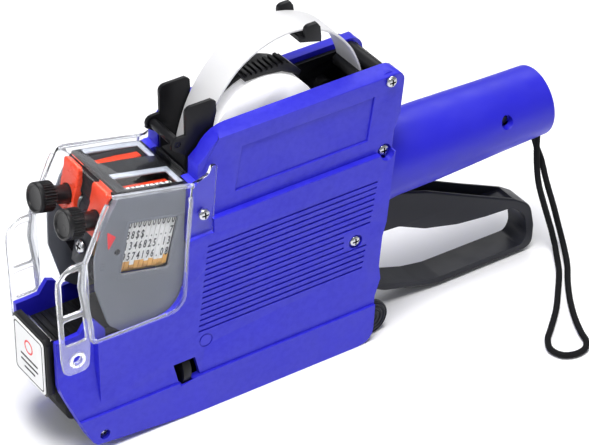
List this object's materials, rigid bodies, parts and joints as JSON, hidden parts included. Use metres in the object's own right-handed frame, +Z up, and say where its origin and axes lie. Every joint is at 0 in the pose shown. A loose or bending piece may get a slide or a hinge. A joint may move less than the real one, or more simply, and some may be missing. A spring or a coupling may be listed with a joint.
{
  "type": "price labelling gun",
  "caption": "Hand-held two-line price labelling gun with roll compartment, print head under a clear cover, squeeze lever, tubular handle and wrist strap.",
  "frame": {"origin": "on the resting plane, in the mid plane, halfway between the nose label and the end of the handle", "axes": "+X towards the handle, +Z up, +Y towards the right-hand side cover; the cord is left out of the claims"},
  "size_m": [0.2432, 0.0963, 0.1486],
  "materials": {
    "blue_shell": "moulded, fine satin grain",
    "black_plastic": "moulded, satin",
    "lever_plastic": "moulded, fine grain",
    "panel_grey": "moulded, smooth",
    "signal_orange": "moulded, satin",
    "ivory_plastic": "smooth",
    "band_rubber": "moulded characters, ink stained at the print edge",
    "black_rubber": "matte",
    "ink_foam": "porous",
    "label_paper": "paper",
    "bright_steel": "plated",
    "clear_cover": "clear moulded plastic",
    "cord": "braided"
  },
  "bodies": {
    "frame": {"side_cover_left": "blue_shell", "side_cover_right": "blue_shell", "handle": "blue_shell", "chassis": "black_plastic", "paper_guide": "black_plastic", "nose_door": "black_plastic", "roller_cradle": "black_plastic", "nose_label": "label_paper", "lever_pivot_pin": "bright_steel", "return_spring": "bright_steel", "head_pivot_pin": "bright_steel", "peel_bar": "bright_steel", "bottom_hinge_pin": "bright_steel", "holder_pin": "bright_steel", "strip_pin": "bright_steel", "strap_pin": "bright_steel", "screw_top_left": "bright_steel", "screw_top_right": "bright_steel", "screw_rear_left": "bright_steel", "screw_rear_right": "bright_steel", "screw_mid_left": "bright_steel", "screw_mid_right": "bright_steel", "screw_cover_left": "bright_steel", "screw_cover_right": "bright_steel", "clear_cover": "clear_cover", "wrist_strap": "cord"},
    "squeeze_lever": {"lever": "lever_plastic"},
    "print_head": {"head_frame": "black_plastic", "head_side_left": "panel_grey", "head_side_right": "panel_grey", "head_front_plate": "lever_plastic", "head_screw": "bright_steel", "carrier_left": "signal_orange", "carrier_right": "signal_orange", "print_bands_left": "band_rubber", "print_bands_right": "band_rubber", "print_anvil_left": "bright_steel", "print_anvil_right": "bright_steel"},
    "selector_left": {"pointer_left": "signal_orange"},
    "knob_left_turning": {"knob_left": "black_plastic", "selector_shaft_left": "bright_steel"},
    "wheels_left": {"print_wheels_left": "ivory_plastic"},
    "selector_right": {"pointer_right": "signal_orange"},
    "knob_right_turning": {"knob_right": "black_plastic", "selector_shaft_right": "bright_steel"},
    "wheels_right": {"print_wheels_right": "ivory_plastic"},
    "ink_swing": {"ink_arm": "black_plastic"},
    "ink_roll": {"ink_roller": "ink_foam"},
    "feed": {"feed_wheel": "black_plastic"},
    "position": {"position_wheel": "black_plastic"},
    "sole": {"bottom_cover": "black_plastic"},
    "sole_latch": {"bottom_latch": "lever_plastic"},
    "holder": {"roll_holder": "black_plastic"},
    "roll": {"label_roll": "label_paper"},
    "keeper": {"tension_strip": "ivory_plastic", "strip_saddle": "black_plastic"},
    "guide": {"guide_roller": "black_plastic"},
    "foot_1": {"foot_roller_1": "black_rubber"},
    "foot_2": {"foot_roller_2": "black_rubber"}
  },
  "joints": [
    {"name": "lever_squeeze", "type": "hinge", "parent": "frame", "child": "squeeze_lever", "pos_m": [0.0108, 0, 0.04], "axis": [0, -1, 0], "range_deg": [0, 10], "stiffness_Nm_per_rad": 0.6, "springref_deg": -17.19},
    {"name": "head_stroke", "type": "hinge", "parent": "frame", "child": "print_head", "pos_m": [0.0016, 0, 0.072], "axis": [0, -1, 0], "range_deg": [0, 13]},
    {"name": "ink_arm_swing", "type": "hinge", "parent": "print_head", "child": "ink_swing", "pos_m": [-0.08725, 0, 0.08635], "axis": [0, 1, 0], "range_deg": [0, 68]},
    {"name": "ink_roller_spin", "type": "hinge", "parent": "ink_swing", "child": "ink_roll", "pos_m": [-0.08583, 0, 0.06612], "axis": [0, 1, 0], "continuous": true},
    {"name": "knob_left_pull", "type": "slide", "parent": "print_head", "child": "selector_left", "axis": [-0.9744, 0, 0.225], "range_m": [0, 0.0187]},
    {"name": "knob_left_turn", "type": "hinge", "parent": "selector_left", "child": "knob_left_turning", "pos_m": [-0.0816, -0.0102, 0.09572], "axis": [-0.9744, 0, 0.225], "continuous": true},
    {"name": "wheels_left_turn", "type": "hinge", "parent": "print_head", "child": "wheels_left", "pos_m": [-0.0816, -0.0102, 0.09572], "axis": [-0.9744, 0, 0.225], "continuous": true},
    {"name": "knob_right_pull", "type": "slide", "parent": "print_head", "child": "selector_right", "axis": [-0.9744, 0, 0.225], "range_m": [0, 0.0187]},
    {"name": "knob_right_turn", "type": "hinge", "parent": "selector_right", "child": "knob_right_turning", "pos_m": [-0.0816, 0.0102, 0.09572], "axis": [-0.9744, 0, 0.225], "continuous": true},
    {"name": "wheels_right_turn", "type": "hinge", "parent": "print_head", "child": "wheels_right", "pos_m": [-0.0816, 0.0102, 0.09572], "axis": [-0.9744, 0, 0.225], "continuous": true},
    {"name": "feed_wheel_turn", "type": "hinge", "parent": "frame", "child": "feed", "pos_m": [-0.0692, 0, 0.0374], "axis": [0, -1, 0], "continuous": true},
    {"name": "position_wheel_turn", "type": "hinge", "parent": "frame", "child": "position", "pos_m": [-0.0605, -0.012, 0.0204], "axis": [1, 0, 0], "continuous": true},
    {"name": "bottom_cover_open", "type": "hinge", "parent": "frame", "child": "sole", "pos_m": [-0.0975, 0, 0.0077], "axis": [0, 1, 0], "range_deg": [0, 60]},
    {"name": "bottom_latch_turn", "type": "hinge", "parent": "frame", "child": "sole_latch", "pos_m": [0.0268, 0, 0.0081], "axis": [0, -1, 0], "range_deg": [0, 25]},
    {"name": "tension_strip_lift", "type": "hinge", "parent": "frame", "child": "keeper", "pos_m": [0.0266, 0, 0.1164], "axis": [0, 1, 0], "range_deg": [0, 60]},
    {"name": "roll_holder_lift", "type": "hinge", "parent": "frame", "child": "holder", "pos_m": [0.0188, 0, 0.108], "axis": [0, 1, 0], "range_deg": [0, 48]},
    {"name": "label_roll_spin", "type": "hinge", "parent": "holder", "child": "roll", "pos_m": [-0.0162, 0, 0.106], "axis": [0, 1, 0], "continuous": true},
    {"name": "guide_roller_spin", "type": "hinge", "parent": "frame", "child": "guide", "pos_m": [-0.0554, 0, 0.117], "axis": [0, 1, 0], "continuous": true},
    {"name": "foot_roller_1_spin", "type": "hinge", "parent": "frame", "child": "foot_1", "pos_m": [-0.1082, 0, 0.0244], "axis": [0, 1, 0], "continuous": true},
    {"name": "foot_roller_2_spin", "type": "hinge", "parent": "frame", "child": "foot_2", "pos_m": [-0.1042, 0, 0.0154], "axis": [0, 1, 0], "continuous": true}
  ],
  "couplings": [
    {"joint": "head_stroke", "follows": "lever_squeeze", "ratio": 1.3},
    {"joint": "ink_arm_swing", "follows": "lever_squeeze", "ratio": 6.8},
    {"joint": "wheels_left_turn", "follows": "knob_left_turn", "ratio": 1},
    {"joint": "wheels_right_turn", "follows": "knob_right_turn", "ratio": 1},
    {"joint": "roll_holder_lift", "follows": "tension_strip_lift", "ratio": 0.8}
  ]
}
